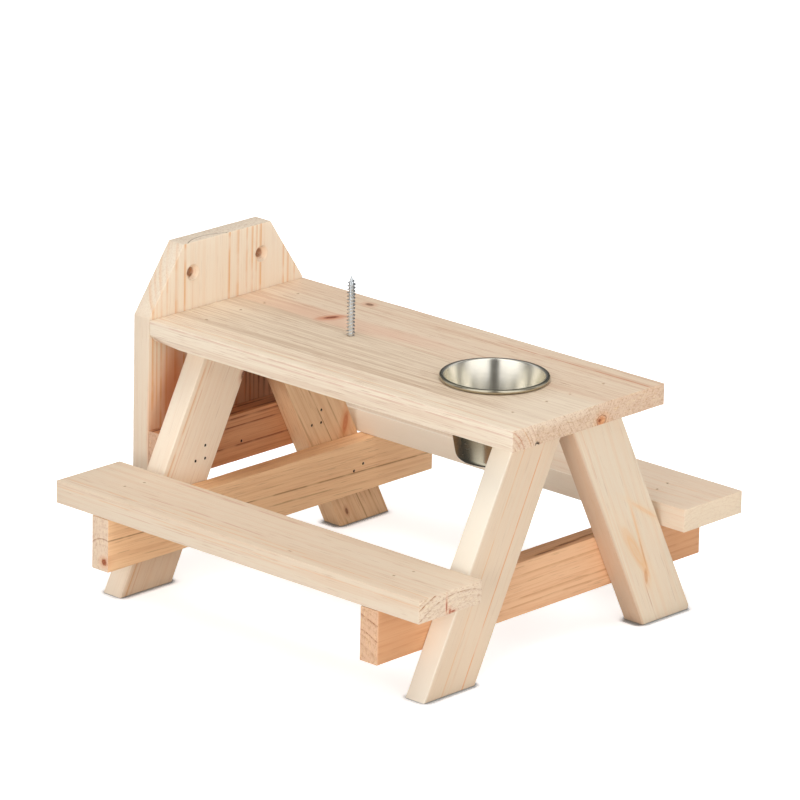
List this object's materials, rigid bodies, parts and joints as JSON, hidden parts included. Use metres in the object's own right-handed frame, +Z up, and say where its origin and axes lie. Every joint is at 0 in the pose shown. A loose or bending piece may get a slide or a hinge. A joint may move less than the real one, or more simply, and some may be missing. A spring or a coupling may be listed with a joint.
{
  "type": "squirrel feeder",
  "caption": "Pine squirrel feeder in the form of a small picnic table, with a back plate for fixing it up, a lift-out steel feed cup and an upright screw for a corn cob.",
  "frame": {"origin": "on the ground under the centre of the feeder's overall box", "axes": "+Z up, +Y towards the back plate and the wall, -Y towards the free end of the table, X across the benches"},
  "size_m": [0.2778, 0.3, 0.1945],
  "materials": {
    "pine": "bare planed pine",
    "cup_steel": "satin spun stainless",
    "screw_zinc": "bright zinc",
    "nail_steel": "dull bare steel"
  },
  "bodies": {
    "table": {"tabletop": "pine", "back_plate": "pine", "back_cleat": "pine", "front_left_leg": "pine", "front_right_leg": "pine", "rear_left_leg": "pine", "rear_right_leg": "pine", "front_beam": "pine", "rear_beam": "pine", "left_bench": "pine", "right_bench": "pine", "cob_screw": "screw_zinc", "tabletop_leg_nails": "nail_steel", "front_beam_nails": "nail_steel", "rear_beam_nails": "nail_steel", "cleat_leg_nails": "nail_steel", "cleat_plate_nails": "nail_steel", "plate_tabletop_nails": "nail_steel", "left_bench_nails": "nail_steel", "right_bench_nails": "nail_steel"},
    "cup": {"feed_cup": "cup_steel"}
  },
  "joints": [
    {"name": "cup_lift", "type": "slide", "parent": "table", "child": "cup", "axis": [0, 0, 1], "range_m": [0, 0.098]}
  ]
}
